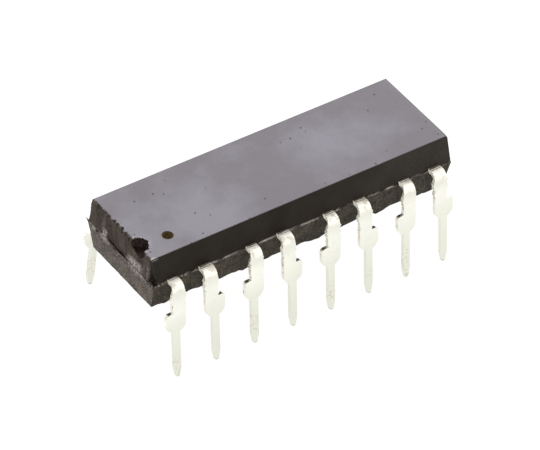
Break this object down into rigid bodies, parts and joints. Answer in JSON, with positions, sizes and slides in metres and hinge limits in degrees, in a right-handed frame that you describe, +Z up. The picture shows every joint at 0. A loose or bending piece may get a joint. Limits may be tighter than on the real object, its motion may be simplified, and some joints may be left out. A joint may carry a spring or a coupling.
{
  "type": "dip integrated circuit chip",
  "caption": "Black moulded dual in-line integrated circuit standing on rows of bent tin-plated leads, with an index dimple on top.",
  "frame": {"origin": "midway between the two lead rows and between the two ends, on the plane of the lead tips", "axes": "+X along the length from lead 1 towards lead 8, +Y from the near row to the far row, +Z up through the flat top"},
  "size_m": [0.0198, 0.009, 0.0077],
  "materials": {
    "moulding": "satin mineral-filled epoxy, smooth on top and on the upper half, coarser on the lower half and the left end",
    "lead_tin": "bright tin plating over a stamped copper-alloy strip",
    "emitter_chip": "polished compound semiconductor",
    "detector_chip": "polished silicon",
    "bond_gold": "drawn gold wire",
    "clear_gel": "clear silicone gel"
  },
  "bodies": {
    "root": {"body": "moulding", "lead_01": "lead_tin", "lead_02": "lead_tin", "lead_03": "lead_tin", "lead_04": "lead_tin", "lead_05": "lead_tin", "lead_06": "lead_tin", "lead_07": "lead_tin", "lead_08": "lead_tin", "lead_09": "lead_tin", "lead_10": "lead_tin", "lead_11": "lead_tin", "lead_12": "lead_tin", "lead_13": "lead_tin", "lead_14": "lead_tin", "lead_15": "lead_tin", "lead_16": "lead_tin", "emitter_die_1": "emitter_chip", "emitter_die_2": "emitter_chip", "emitter_die_3": "emitter_chip", "emitter_die_4": "emitter_chip", "detector_die_1": "detector_chip", "detector_die_2": "detector_chip", "detector_die_3": "detector_chip", "detector_die_4": "detector_chip", "emitter_wire_1": "bond_gold", "emitter_wire_2": "bond_gold", "emitter_wire_3": "bond_gold", "emitter_wire_4": "bond_gold", "detector_wire_1": "bond_gold", "detector_wire_2": "bond_gold", "detector_wire_3": "bond_gold", "detector_wire_4": "bond_gold", "gel_dome_1": "clear_gel", "gel_dome_2": "clear_gel", "gel_dome_3": "clear_gel", "gel_dome_4": "clear_gel"}
  },
  "joints": []
}
